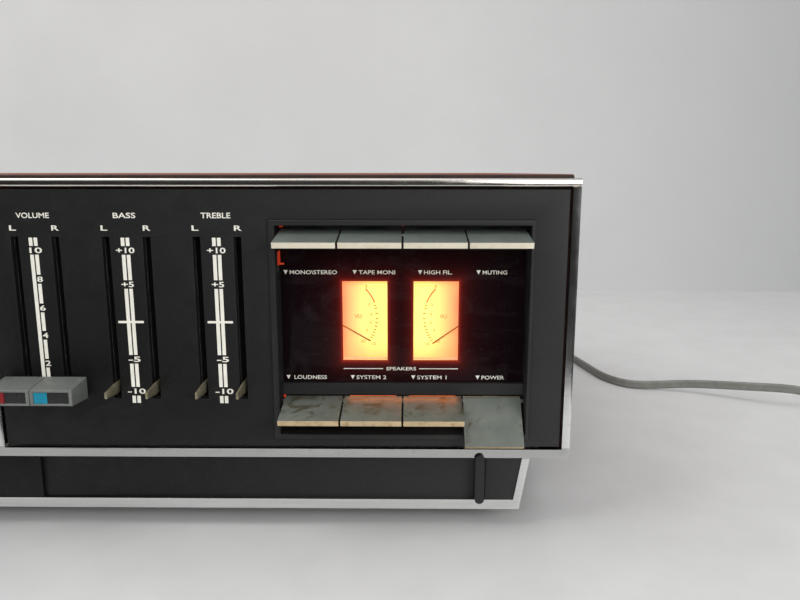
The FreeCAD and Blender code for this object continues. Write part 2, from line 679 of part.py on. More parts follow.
def make_mains_lead():
    flange = round_rod(EXIT_X, REAR_FACE, EXIT_Z, 7.5, 2.0)
    neck = round_rod(EXIT_X, REAR_FACE - 4, EXIT_Z, 5.0, 4.0)
    sleeve = Part.makeCone(6.0, 3.6, EXIT_Y - REAR_FACE - 2.0, V(EXIT_X, REAR_FACE + 2.0, EXIT_Z), Y_AXIS)
    relief = joined([neck, flange, sleeve])
    save("strain_relief", relief)

    floor = -FOOT_HEIGHT
    coil_body = round_rod(COIL_X, COIL_Y, floor, COIL_OUTER, COIL_HEIGHT, Z_AXIS)
    eye = round_rod(COIL_X, COIL_Y, floor - 1, COIL_INNER, COIL_HEIGHT + 2, Z_AXIS)
    save("cord_coil", coil_body.cut(eye))
    save("mains_cord", tube(CORD_ROUTE, CORD_RADIUS).cut([coil_body, relief]))

    middle = floor + 7.0
    body = block(PLUG_X - 17.5, PLUG_X + 17.5, PLUG_Y, PLUG_Y + 34, floor, floor + 14.0)
    body = body.makeFillet(3.0, [e for e in body.Edges if e.BoundBox.ZLength > 10])
    sleeve = round_rod(PLUG_X, PLUG_Y + 34, middle, 4.2, 40)
    pins = [round_rod(PLUG_X + s, PLUG_Y - 19, middle, 2.0, 19) for s in (-9.3, 9.3)]
    save("mains_plug", joined([body, sleeve.cut(coil_body)] + pins))


os.makedirs("parts", exist_ok=True)
make_front()
make_cabinet()
make_plinth()
make_cover()
make_slide_controls()
make_keys()
make_module()
make_switches()
make_meters()
make_tuner()
make_knobs()
make_inside()
make_rear()
make_mains_lead()
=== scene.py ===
import bmesh
import bpy
import json
import math
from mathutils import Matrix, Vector


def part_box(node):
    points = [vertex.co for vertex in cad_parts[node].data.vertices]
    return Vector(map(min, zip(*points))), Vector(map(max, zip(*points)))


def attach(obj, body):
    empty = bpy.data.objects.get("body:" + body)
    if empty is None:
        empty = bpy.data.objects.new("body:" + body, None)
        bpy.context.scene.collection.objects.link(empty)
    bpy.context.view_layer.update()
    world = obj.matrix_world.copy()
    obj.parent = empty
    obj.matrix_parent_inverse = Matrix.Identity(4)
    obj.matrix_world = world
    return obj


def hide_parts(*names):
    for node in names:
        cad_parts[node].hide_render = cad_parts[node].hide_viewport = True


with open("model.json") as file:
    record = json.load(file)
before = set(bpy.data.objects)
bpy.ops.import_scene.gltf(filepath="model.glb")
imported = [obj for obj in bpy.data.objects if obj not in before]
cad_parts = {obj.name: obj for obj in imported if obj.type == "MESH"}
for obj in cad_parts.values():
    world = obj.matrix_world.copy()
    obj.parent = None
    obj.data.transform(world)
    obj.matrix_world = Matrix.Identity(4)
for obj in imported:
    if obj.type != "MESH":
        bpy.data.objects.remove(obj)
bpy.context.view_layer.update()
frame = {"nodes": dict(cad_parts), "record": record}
NODES = frame["nodes"]
SLOT_OF = {part["node"]: part["material_slot"] for part in frame["record"]["subparts"]}
BODY_OF = {n: b for b, members in frame["record"]["behaviour"]["bodies"].items() for n in members}
BASE = "receiver"

# Panel coordinates, as in the part's source: millimetres from the middle, from the face of the
# front frame backwards, and up from the lower edge of the front frame.
MM = 0.001
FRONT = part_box("front_frame")[0].y
LOWER_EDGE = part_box("front_frame")[0].z
FLOOR = -LOWER_EDGE / MM  # the table, in panel coordinates


def at(x, y, z):
    return Vector((x * MM, FRONT + y * MM, LOWER_EDGE + z * MM))


def edges_of(node):
    """x0, x1, y0, y1, z0, z1 of a CAD node in panel coordinates."""
    low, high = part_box(node)
    return (
        low.x / MM, high.x / MM,
        (low.y - FRONT) / MM, (high.y - FRONT) / MM,
        (low.z - LOWER_EDGE) / MM, (high.z - LOWER_EDGE) / MM,
    )


# Camera

def make_camera():
    data = bpy.data.cameras.new("camera")
    data.sensor_width = 36.0
    data.lens = 30.7
    data.clip_start = 0.01
    camera = bpy.data.objects.new("camera", data)
    bpy.context.scene.collection.objects.link(camera)
    camera.location = at(164.4, -260, 136.2)
    camera.rotation_euler = (math.radians(90 - 10.65), 0, math.radians(0.6))
    bpy.context.scene.camera = camera


# Materials

class Finish:
    """A node material on one principled shader, with its pattern placed in metres."""

    def __init__(self, name):
        self.material = bpy.data.materials.new(name)
        self.material.use_nodes = True
        self.tree = self.material.node_tree
        self.shader = self.tree.nodes["Principled BSDF"]
        self.place = self.add("ShaderNodeTexCoord").outputs["Object"]

    def add(self, kind, **values):
        node = self.tree.nodes.new(kind)
        for name, value in values.items():
            if name in node.inputs:
                node.inputs[name].default_value = value
            else:
                setattr(node, name, value)
        return node

    def join(self, output, node, name):
        self.tree.links.new(output, node.inputs[name])

    def stretched(self, x, y, z):
        """Place with each axis scaled: a small factor draws a pattern out along that axis."""
        mapping = self.add("ShaderNodeMapping")
        self.join(self.place, mapping, "Vector")
        mapping.inputs["Scale"].default_value = (x, y, z)
        return mapping.outputs["Vector"]

    def axis(self, name):
        """Position along X, Y or Z, in metres."""
        split = self.add("ShaderNodeSeparateXYZ")
        self.join(self.place, split, "Vector")
        return split.outputs[name]

    def noise(self, scale, detail=4.0, roughness=0.6, where=None, distortion=0.0):
        node = self.add("ShaderNodeTexNoise")
        node.inputs["Scale"].default_value = scale
        node.inputs["Detail"].default_value = detail
        node.inputs["Roughness"].default_value = roughness
        node.inputs["Distortion"].default_value = distortion
        self.join(where or self.place, node, "Vector")
        return node.outputs["Fac"]

    def ramp(self, value, *stops):
        node = self.add("ShaderNodeValToRGB")
        bands = node.color_ramp.elements
        while len(bands) < len(stops):
            bands.new(0.5)
        for band, (place, color) in zip(bands, stops):
            band.position = place
            band.color = (*color, 1) if len(color) == 3 else color
        self.join(value, node, "Fac")
        return node.outputs["Color"]

    def mixed(self, share, first, second):
        """Blends two colour outputs or colours by a value output."""
        node = self.add("ShaderNodeMix", data_type="RGBA")
        self.join(share, node, "Factor")
        for name, value in (("A", first), ("B", second)):
            socket = next(s for s in node.inputs if s.name == name and s.type == "RGBA")
            if isinstance(value, (tuple, list)):
                socket.default_value = (*value, 1)
            else:
                self.tree.links.new(value, socket)
        return next(s for s in node.outputs if s.type == "RGBA")

    def scaled(self, value, low, high, start=0.3, end=0.7):
        """Carries start to end over to low to high, and holds the ends."""
        node = self.add("ShaderNodeMapRange")
        self.join(value, node, "Value")
        node.inputs["From Min"].default_value = start
        node.inputs["From Max"].default_value = end
        node.inputs["To Min"].default_value = low
        node.inputs["To Max"].default_value = high
        return node.outputs["Result"]

    def bump(self, value, distance, strength=1.0):
        node = self.add("ShaderNodeBump")
        node.inputs["Distance"].default_value = distance
        node.inputs["Strength"].default_value = strength
        self.join(value, node, "Height")
        self.join(node.outputs["Normal"], self.shader, "Normal")

    def color(self, output):
        self.join(output, self.shader, "Base Color")

    def rough(self, output):
        self.join(output, self.shader, "Roughness")

    def set(self, **values):
        for name, value in values.items():
            self.shader.inputs[name.replace("_", " ")].default_value = value
        return self.material


def mottled(name, dark, light, rough, scale=220, grain=2500, bump=0.00003, **values):
    """Moulded plastic, paint or rubber: slow colour drift, uneven gloss and a fine grain."""
    finish = Finish(name)
    drift = finish.noise(scale)
    finish.color(finish.ramp(drift, (0.3, dark), (0.7, light)))
    finish.rough(finish.scaled(finish.noise(scale * 2.3), *rough))
    finish.bump(finish.noise(grain, 2.0), bump)
    return finish.set(**values)


def dusty_black(name, base, rough, dust):
    """Black paint with a fine grain, a thin scatter of dust and a painted sheen that lightens it towards
    the top right.
    """
    finish = Finish(name)
    drift = finish.noise(60)
    ground = finish.ramp(drift, (0.3, base), (0.75, tuple(c * 1.6 for c in base)))
    # Painted sheen: the black is mixed towards grey to the right and towards the top.
    painted_sheen = (0.038, 0.038, 0.0385)
    ground = finish.mixed(finish.scaled(finish.axis("X"), 0, 0.5, 0.06, 0.225), ground, painted_sheen)
    ground = finish.mixed(finish.scaled(finish.axis("Z"), 0, 0.3, 0.07, 0.14), ground, painted_sheen)
    specks = finish.scaled(finish.noise(1600, 1.0, 0.5), 0, dust, 0.66, 0.78)
    finish.color(finish.mixed(specks, ground, (0.35, 0.34, 0.32)))
    finish.rough(finish.scaled(finish.noise(140, 5.0), *rough))
    finish.bump(finish.noise(3800, 2.0), 0.00002, 0.6)
    return finish.set(Specular_IOR_Level=0.33)


def trim_metal():
    """Bright aluminium with faint rolling lines, dull patches and brown specks.
    The middle rail is painted darker than the rest as painted shade,
    and the top rail a little browner as a painted reflection."""
    finish = Finish("trim_metal")
    lines = finish.noise(1500, 2.0, 0.5, finish.stretched(0.03, 1, 1))
    patches = finish.noise(120, 6.0, 0.7)
    specks = finish.scaled(finish.noise(330, 5.0, 0.7), 0, 0.7, 0.66, 0.76)
    metal = finish.ramp(lines, (0.3, (0.74, 0.74, 0.73)), (0.7, (0.82, 0.82, 0.81)))
    height = finish.axis("Z")
    middle_rail = finish.add("ShaderNodeMath", operation="MULTIPLY")
    finish.join(finish.scaled(height, 0, 1, 0.0298, 0.03), middle_rail, 0)
    finish.join(finish.scaled(height, 1, 0, 0.0345, 0.0347), middle_rail, 1)
    # Painted shade: the middle rail is mixed towards a darker grey.
    middle_rail_shade = finish.mixed(middle_rail.outputs["Value"], metal, (0.5, 0.505, 0.495))
    # Painted reflection: the top of the top rail is mixed towards a brownish grey.
    top_rail = finish.scaled(height, 0, 1, 0.137, 0.1385)
    top_rail_reflection = finish.mixed(top_rail, middle_rail_shade, (0.7, 0.66, 0.61))
    finish.color(finish.mixed(specks, top_rail_reflection, (0.3, 0.2, 0.12)))
    finish.rough(finish.scaled(patches, 0.14, 0.27, 0.35, 0.75))
    finish.bump(lines, 0.000004, 0.5)
    return finish.set(Metallic=1.0)


def rosewood():
    """Reddish brown veneer with its grain along the cabinet."""
    finish = Finish("rosewood")
    along = finish.stretched(0.9, 6, 6)
    figure = finish.noise(26, 6.0, 0.62, along, 1.2)
    pores = finish.noise(900, 3.0, 0.7, finish.stretched(0.035, 1, 1))
    tone = finish.ramp(
        figure,
        (0.28, (0.055, 0.016, 0.01)),
        (0.46, (0.2, 0.055, 0.03)),
        (0.6, (0.31, 0.095, 0.05)),
        (0.78, (0.15, 0.042, 0.024)),
    )
    dark_pores = finish.scaled(pores, 0.55, 0, 0.33, 0.5)
    finish.color(finish.mixed(dark_pores, tone, (0.035, 0.014, 0.01)))
    finish.rough(finish.scaled(figure, 0.42, 0.58))
    finish.bump(pores, 0.00003, 0.6)
    return finish.set(Specular_IOR_Level=0.08)


def key_grey():
    """Satin grey key tops with faint scuffs."""
    finish = Finish("key_top")
    drift = finish.noise(120)
    ground = finish.ramp(drift, (0.3, (0.08, 0.095, 0.086)), (0.7, (0.106, 0.124, 0.112)))
    scratches = finish.noise(700, 5.0, 0.7, finish.stretched(0.3, 1, 1))
    scuffs = finish.scaled(scratches, 0, 0.12, 0.6, 0.75)
    finish.color(finish.mixed(scuffs, ground, (0.32, 0.33, 0.3)))
    finish.rough(finish.scaled(finish.noise(260), 0.42, 0.6))
    finish.bump(finish.noise(3000, 2.0), 0.00002)
    return finish.set()


def worn_key_grey():
    """Satin grey of the lower keys' tops, with dark brown stains."""
    finish = Finish("key_top_worn")
    drift = finish.noise(120)
    ground = finish.ramp(drift, (0.3, (0.095, 0.107, 0.092)), (0.7, (0.13, 0.143, 0.124)))
    spots = finish.scaled(finish.noise(105, 6.0, 0.66, None, 0.8), 0, 0.9, 0.53, 0.63)
    finish.color(finish.mixed(spots, ground, (0.05, 0.041, 0.02)))
    finish.rough(finish.scaled(finish.noise(260), 0.42, 0.62))
    finish.bump(finish.noise(3000, 2.0), 0.00002)
    return finish.set()


def key_cream(name, clean, stained, amount):
    """Cream moulding, yellowed and stained in patches."""
    finish = Finish(name)
    stains = finish.scaled(finish.noise(330, 6.0, 0.7), 0, amount, 0.48, 0.72)
    drift = finish.noise(70)
    ground = finish.ramp(drift, (0.3, clean), (0.7, tuple(c * 0.9 for c in clean)))
    finish.color(finish.mixed(stains, ground, stained))
    finish.rough(finish.scaled(drift, 0.38, 0.55))
    finish.bump(finish.noise(2600, 2.0), 0.00002)
    return finish.set()


def smoked_glass():
    """Dark clear glass over the tuner's scale."""
    finish = Finish("smoked_glass")
    smears = finish.noise(34, 6.0, 0.7, finish.stretched(1, 1, 2.2), 1.6)
    finish.color(finish.ramp(smears, (0.45, (0.008, 0.004, 0.006)), (0.8, (0.03, 0.022, 0.026))))
    finish.rough(finish.scaled(smears, 0.05, 0.2, 0.45, 0.8))
    return finish.set(Alpha=0.5, Specular_IOR_Level=0.42)


# Clear windows in the painted glass, a little smaller than the openings behind them
METER_MIDDLE = 161.75
METER_OFFSET = 14.45
METER_HALF = 9.1
METER_LOW = 59.9
METER_TOP = 92.9
METER_X = (147.3, 176.2)
DIAL_HALF = 9.2
DIAL_FACE = 18.0


def meter_glass():
    """Glass painted black behind, with two clear windows and lamp light spread round them."""
    finish = Finish("meter_glass")

    def math_node(operation, first, second=None):
        node = finish.add("ShaderNodeMath", operation=operation)
        for socket, value in zip(node.inputs, (first, second)):
            if value is None:
                continue
            if isinstance(value, (int, float)):
                socket.default_value = value
            else:
                finish.tree.links.new(value, socket)
        return node.outputs["Value"]

    def outside(value, middle, half):
        """Distance in millimetres past a half width, and 0 inside it."""
        apart = math_node("ABSOLUTE", math_node("SUBTRACT", value, middle))
        return math_node("MAXIMUM", math_node("SUBTRACT", apart, half), 0.0)

    across = math_node("MULTIPLY", finish.axis("X"), 1 / MM)
    height = math_node("MULTIPLY", finish.axis("Z"), 1 / MM)
    from_middle = math_node("ABSOLUTE", math_node("SUBTRACT", across, METER_MIDDLE))
    low, top = METER_LOW + LOWER_EDGE / MM, METER_TOP + LOWER_EDGE / MM
    dx = outside(from_middle, METER_OFFSET, METER_HALF)
    dz = outside(height, (low + top) / 2, (top - low) / 2)
    squared = math_node("ADD", math_node("MULTIPLY", dx, dx), math_node("MULTIPLY", dz, dz))
    distance = math_node("SQRT", squared)

    def spread(amount, reach):
        fade = math_node("EXPONENT", math_node("MULTIPLY", distance, -1 / reach))
        return math_node("MULTIPLY", fade, amount)

    near_halo = math_node("ADD", spread(0.3, 0.45), spread(0.08, 2.6))
    halo = math_node("ADD", near_halo, spread(0.009, 9.0))
    window_edge = finish.scaled(distance, 0, 1, 0.0, 0.12)
    finish.join(math_node("MULTIPLY", halo, window_edge), finish.shader, "Emission Strength")
    finish.join(finish.scaled(distance, 0.1, 1.0, 0.0, 0.12), finish.shader, "Alpha")
    smears = finish.noise(30, 6.0, 0.72, finish.stretched(1, 1, 2.4), 1.8)
    dust = finish.scaled(finish.noise(1500, 1.0, 0.5), 0, 0.12, 0.7, 0.8)
    ground = finish.ramp(smears, (0.5, (0.0055, 0.0032, 0.0042)), (0.85, (0.022, 0.017, 0.019)))
    finish.color(finish.mixed(dust, ground, (0.3, 0.3, 0.3)))
    finish.rough(finish.scaled(smears, 0.06, 0.24, 0.45, 0.8))
    return finish.set(Emission_Color=(1.0, 0.065, 0.03, 1), Specular_IOR_Level=0.06)


def glow(name, middle, outward):
    """A dial glowing with painted lamp light: yellow next to the other meter, pink at its outer, upper and
    lower edges.
    """
    finish = Finish(name)
    inner = (middle - outward * DIAL_HALF) * MM
    outer = (middle + outward * DIAL_HALF) * MM
    low = METER_LOW * MM + LOWER_EDGE
    top = METER_TOP * MM + LOWER_EDGE
    across = finish.scaled(finish.axis("X"), 0, 1, inner, outer)
    tone = finish.ramp(
        across,
        (0.0, (0.97, 0.96, 0.24)),
        (0.4, (0.98, 0.86, 0.22)),
        (0.72, (0.99, 0.56, 0.19)),
        (1.0, (0.96, 0.26, 0.12)),
    )
    cloud = finish.noise(60, 1.0)
    soft = finish.mixed(finish.scaled(cloud, 0, 0.3), tone, (1.0, 0.55, 0.16))
    height = finish.axis("Z")
    lower = finish.scaled(height, 0.55, 0, low, low + 0.007)
    upper = finish.scaled(height, 0, 0.6, top - 0.003, top)
    warm = finish.mixed(upper, finish.mixed(lower, soft, (1.0, 0.34, 0.12)), (1.0, 0.3, 0.1))
    finish.color(warm)
    finish.join(warm, finish.shader, "Emission Color")
    return finish.set(Emission_Strength=1.1, Roughness=0.6)


def plain_glow(name, color, strength):
    """Anything lit by the lamps, its lamp light painted in as a glow: one colour that drifts slightly
    darker.
    """
    finish = Finish(name)
    shade = finish.ramp(finish.noise(400), (0.3, color), (0.7, tuple(c * 0.7 for c in color)))
    finish.color(shade)
    finish.join(shade, finish.shader, "Emission Color")
    return finish.set(Emission_Strength=strength, Roughness=0.6)


def spun_metal():
    """Turned knob face with fine rings round the knob's own axis."""
    finish = Finish("spun_metal")
    rings = finish.noise(5200, 1.0, 0.5, finish.stretched(0.2, 1, 0.2))
    finish.color(finish.ramp(rings, (0.3, (0.42, 0.42, 0.41)), (0.7, (0.58, 0.58, 0.57))))
    finish.rough(finish.scaled(rings, 0.22, 0.38))
    return finish.set(Metallic=1.0)


def make_finishes():
    return {
        "rosewood": rosewood(),
        "bright_trim": trim_metal(),
        "panel_black": dusty_black("panel_black", (0.0035, 0.0035, 0.0036), (0.42, 0.62), 0.07),
        "cover_black": dusty_black("cover_black", (0.003, 0.003, 0.0031), (0.4, 0.58), 0.06),
        "plated_steel": mottled(
            "plated_steel", (0.36, 0.35, 0.31), (0.5, 0.49, 0.46), (0.28, 0.5), Metallic=1.0,
        ),
        "rear_steel": mottled("rear_steel", (0.03, 0.03, 0.032), (0.05, 0.05, 0.052), (0.42, 0.6)),
        "plinth_black": dusty_black("plinth_black", (0.01, 0.01, 0.01), (0.5, 0.7), 0.1),
        "rubber": mottled("foot_rubber", (0.012, 0.012, 0.012), (0.024, 0.024, 0.023), (0.7, 0.9)),
        "socket_plastic": mottled(
            "socket_plastic", (0.012, 0.012, 0.012), (0.025, 0.025, 0.025), (0.35, 0.55),
        ),
        "bezel_plastic": dusty_black("bezel_plastic", (0.007, 0.0068, 0.0068), (0.42, 0.6), 0.07),
        "smoked_glass": smoked_glass(),
        "meter_glass": meter_glass(),
        # Dark grey for the sides of the keys: painted shade.
        "key_side_shade": mottled("key_side_shade", (0.05, 0.047, 0.036), (0.085, 0.08, 0.062), (0.5, 0.7)),
        # Darker wood for the cabinet's front faces: painted shade.
        "wood_front_shade": mottled("wood_front_shade", (0.012, 0.006, 0.005), (0.035, 0.014, 0.009), (0.5, 0.7)),
        # The ledge and needle glows are painted lamp light.
        "window_ledge": plain_glow("window_ledge", (0.98, 0.5, 0.28), 0.9),
        "lamp_glass": plain_glow("lamp_glow", (1.0, 0.62, 0.25), 3.0),
        "needle": plain_glow("needle_paint_and_glow", (0.42, 0.12, 0.025), 0.6),
        "cap_grey": mottled("cap_grey", (0.115, 0.123, 0.113), (0.155, 0.163, 0.152), (0.36, 0.56)),
        "key_grey": key_grey(),
        "lever_brass": mottled(
            "lever_brass", (0.24, 0.22, 0.14), (0.42, 0.39, 0.27), (0.3, 0.5), Metallic=0.7,
        ),
        "dial_plate": mottled("dial_plate", (0.006, 0.006, 0.006), (0.012, 0.012, 0.012), (0.4, 0.6)),
        "pointer": mottled("pointer_red", (0.55, 0.03, 0.015), (0.72, 0.05, 0.02), (0.3, 0.5)),
        "knob_metal": spun_metal(),
        "core_iron": mottled(
            "core_iron", (0.05, 0.045, 0.04), (0.1, 0.09, 0.08), (0.4, 0.6), Metallic=0.6,
        ),
        "sink_black": mottled(
            "sink_black", (0.012, 0.012, 0.013), (0.026, 0.026, 0.027), (0.4, 0.6), Metallic=0.5,
        ),
        "board": mottled("board_brown", (0.12, 0.08, 0.03), (0.2, 0.14, 0.06), (0.4, 0.6)),
        "cord_grey": mottled("cord_grey", (0.14, 0.142, 0.13), (0.19, 0.192, 0.175), (0.4, 0.58)),
        "key_worn": worn_key_grey(),
        "cream": key_cream("cream_lip", (0.72, 0.665, 0.53), (0.47, 0.34, 0.18), 0.3),
        "cream_worn": key_cream("cream_lip_worn", (0.5, 0.385, 0.225), (0.2, 0.1, 0.032), 0.8),
        "print": mottled("print_cream", (0.72, 0.7, 0.62), (0.82, 0.8, 0.72), (0.5, 0.7), bump=0.000004),
        # The dial print glows with painted lamp light.
        "dial_ink_and_glow": plain_glow("dial_ink_and_glow", (0.52, 0.24, 0.045), 0.8),
        "dial_red": plain_glow("dial_red", (0.86, 0.33, 0.1), 0.85),
        "left_dial": glow("left_dial", METER_X[0], -1),
        "right_dial": glow("right_dial", METER_X[1], 1),
        "leak": plain_glow("light_leak", (0.42, 0.035, 0.01), 0.7),
        "warm_leak": plain_glow("warm_leak", (0.62, 0.11, 0.02), 1.0),
        "cyan": mottled("cyan_inlay", (0.003, 0.17, 0.26), (0.006, 0.21, 0.32), (0.3, 0.45)),
        "red": mottled("red_inlay", (0.17, 0.005, 0.008), (0.23, 0.009, 0.012), (0.3, 0.45)),
        "window": mottled("cap_window", (0.01, 0.0095, 0.01), (0.018, 0.017, 0.018), (0.2, 0.35)),
        "pin_metal": mottled(
            "pin_metal", (0.55, 0.53, 0.48), (0.68, 0.66, 0.6), (0.2, 0.4), Metallic=1.0,
        ),
    }


# Mesh helpers

def shown(name, mesh, body, slot, *finishes):
    piece = bpy.data.objects.new(name, mesh)
    bpy.context.scene.collection.objects.link(piece)
    mesh.materials.clear()
    for finish in finishes:
        mesh.materials.append(FINISHES[finish])
    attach(piece, body)
    return piece


def round_edges(piece, width, segments=2, angle=30):
    bevel = piece.modifiers.new("edges", "BEVEL")
    bevel.width = width * MM
    bevel.segments = segments
    bevel.limit_method = "ANGLE"
    bevel.angle_limit = math.radians(angle)
    bevel.harden_normals = True
    bevel.use_clamp_overlap = True
    for face in piece.data.polygons:
        face.use_smooth = True
    return piece


def clean_copy(node):
    """The node's mesh with its triangles joined back into whole flat faces."""
    mesh = NODES[node].data.copy()
    work = bmesh.new()
    work.from_mesh(mesh)
    bmesh.ops.remove_doubles(work, verts=work.verts, dist=2e-6)
    bmesh.ops.dissolve_limit(
        work, angle_limit=math.radians(0.6), verts=work.verts, edges=work.edges, delimit={"NORMAL"},
    )
    work.to_mesh(mesh)
    work.free()
    return mesh


def softened(node, width, finish=None, segments=2, angle=30):
    """The CAD node with its edges rounded, shown in its place."""
    slot = SLOT_OF[node]
    piece = shown(node + "_shell", clean_copy(node), BODY_OF[node], slot, finish or slot)
    round_edges(piece, width, segments, angle)
    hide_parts(node)
    return piece


# Corners of a box's faces, with the corners counted by x, then y, then z
BOX_SIDES = ((0, 1, 3, 2), (4, 6, 7, 5), (0, 4, 5, 1), (2, 3, 7, 6), (0, 2, 6, 4), (1, 5, 7, 3))


class Solid:
    """Collects closed boxes, plates and turned shapes, in panel coordinates, into one mesh."""

    def __init__(self):
        self.work = bmesh.new()

    def box(self, x0, x1, y0, y1, z0, z1, paint=0):
        corners = [at(x, y, z) for x in (x0, x1) for y in (y0, y1) for z in (z0, z1)]
        points = [self.work.verts.new(c) for c in corners]
        for side in BOX_SIDES:
            self.work.faces.new([points[i] for i in side]).material_index = paint

    def plate(self, outline, y0, y1, paint=0):
        """A closed outline in (x, z) between two depths."""
        near = [self.work.verts.new(at(x, y0, z)) for x, z in outline]
        far = [self.work.verts.new(at(x, y1, z)) for x, z in outline]
        faces = [self.work.faces.new(near), self.work.faces.new(far[::-1])]
        count = len(outline)
        for i in range(count):
            j = (i + 1) % count
            faces.append(self.work.faces.new([near[j], near[i], far[i], far[j]]))
        for face in faces:
            face.material_index = paint

    def lathe(self, profile, x, z, segments=64, paints=None, ribs=None):
        """A profile of (radius, y) points turned about the line along y at x and z.
        ribs gives the profile rows whose radius swells and shrinks, how often and by how much."""
        rows = []
        for row, (radius, y) in enumerate(profile):
            if radius == 0:
                rows.append([self.work.verts.new(at(x, y, z))])
                continue
            ring = []
            for i in range(segments):
                turn = 2 * math.pi * i / segments
                wide = radius
                if ribs and row in ribs[0]:
                    wide = radius + ribs[2] * math.cos(turn * ribs[1])
                corner = at(x + wide * math.cos(turn), y, z + wide * math.sin(turn))
                ring.append(self.work.verts.new(corner))
            rows.append(ring)
        for row, (a, b) in enumerate(zip(rows, rows[1:])):
            for i in range(segments):
                j = (i + 1) % segments
                if len(a) == 1:
                    corners = [a[0], b[i], b[j]]
                elif len(b) == 1:
                    corners = [a[i], b[0], a[j]]
                else:
                    corners = [a[i], b[i], b[j], a[j]]
                self.work.faces.new(corners).material_index = paints[row] if paints else 0

    def piece(self, name, body, slot, *finishes, smooth=False):
        mesh = bpy.data.meshes.new(name)
        bmesh.ops.recalc_face_normals(self.work, faces=self.work.faces)
        self.work.to_mesh(mesh)
        self.work.free()
        for face in mesh.polygons:
            face.use_smooth = smooth
        return shown(name, mesh, body, slot, *finishes)


# Printing: thin raised lettering and lines

PRINT_THICK = 0.05


class Printing(Solid):
    """Printed marks that stand just proud of a face at one depth."""

    def __init__(self, depth):
        super().__init__()
        self.near = depth - PRINT_THICK
        self.far = depth - 0.01

    def bar(self, x0, x1, z0, z1):
        self.box(x0, x1, self.near, self.far, z0, z1)

    def arrow(self, x, z, size):
        self.plate([(x - size, z + size), (x + size, z + size), (x, z - size)], self.near, self.far)

    def words(self, words, x0, x1, z0, z1, weight=0.014):
        """Words fitted between two heights and two sides."""
        curve = bpy.data.curves.new("words", "FONT")
        curve.body = words
        curve.offset = weight
        curve.resolution_u = 3
        holder = bpy.data.objects.new("words", curve)
        flat = bpy.data.meshes.new_from_object(holder)
        xs = [v.co.x for v in flat.vertices]
        ys = [v.co.y for v in flat.vertices]
        wide, high = max(xs) - min(xs), max(ys) - min(ys)
        letters = bmesh.new()
        letters.from_mesh(flat)
        bmesh.ops.remove_doubles(letters, verts=letters.verts, dist=1e-5)
        for v in letters.verts:
            x = x0 + (v.co.x - min(xs)) / wide * (x1 - x0)
            z = z0 + (v.co.y - min(ys)) / high * (z1 - z0)
            v.co = at(x, self.far, z)
        grown = bmesh.ops.extrude_face_region(letters, geom=list(letters.faces))
        lift = [v for v in grown["geom"] if isinstance(v, bmesh.types.BMVert)]
        bmesh.ops.translate(letters, verts=lift, vec=Vector((0, (self.near - self.far) * MM, 0)))
        letters.to_mesh(flat)
        self.work.from_mesh(flat)
        letters.free()
        bpy.data.objects.remove(holder)
        bpy.data.curves.remove(curve)
        bpy.data.meshes.remove(flat)

    def middle_words(self, words, x, z, width, height, weight=0.014):
        self.words(words, x - width / 2, x + width / 2, z - height / 2, z + height / 2, weight)

    def arc(self, x, z, radius, start, end, width):
        """A stroke round a centre, with its angles in degrees from +x towards +z."""
        steps = max(4, int(abs(end - start) / 3))
        turns = [math.radians(start + (end - start) * i / steps) for i in range(steps + 1)]

        def circle(reach):
            return [(x + reach * math.cos(t), z + reach * math.sin(t)) for t in turns]

        outer = circle(radius + width / 2)
        inner = circle(radius - width / 2)
        self.plate(outer + inner[::-1], self.near, self.far)

    def tick(self, x, z, inner, outer, angle, width):
        turn = math.radians(angle)
        along = Vector((math.cos(turn), math.sin(turn)))
        side = Vector((-along.y, along.x)) * width / 2
        centre = Vector((x, z))
        a, b = centre + along * inner, centre + along * outer
        corners = [tuple(a - side), tuple(b - side), tuple(b + side), tuple(a + side)]
        self.plate(corners, self.near, self.far)


# Front panel

SLIDES = {"volume": (13.15, 28.95), "bass": (48.4, 64.2), "treble": (83.4, 99.2)}
PANEL_FACE = 0.8
KNOB_X = -36.0
SELECTOR_Z = 45.0


def broken_line(marks, x0, x1, stretches):
    for low, high in stretches:
        marks.bar(x0, x1, low, high)


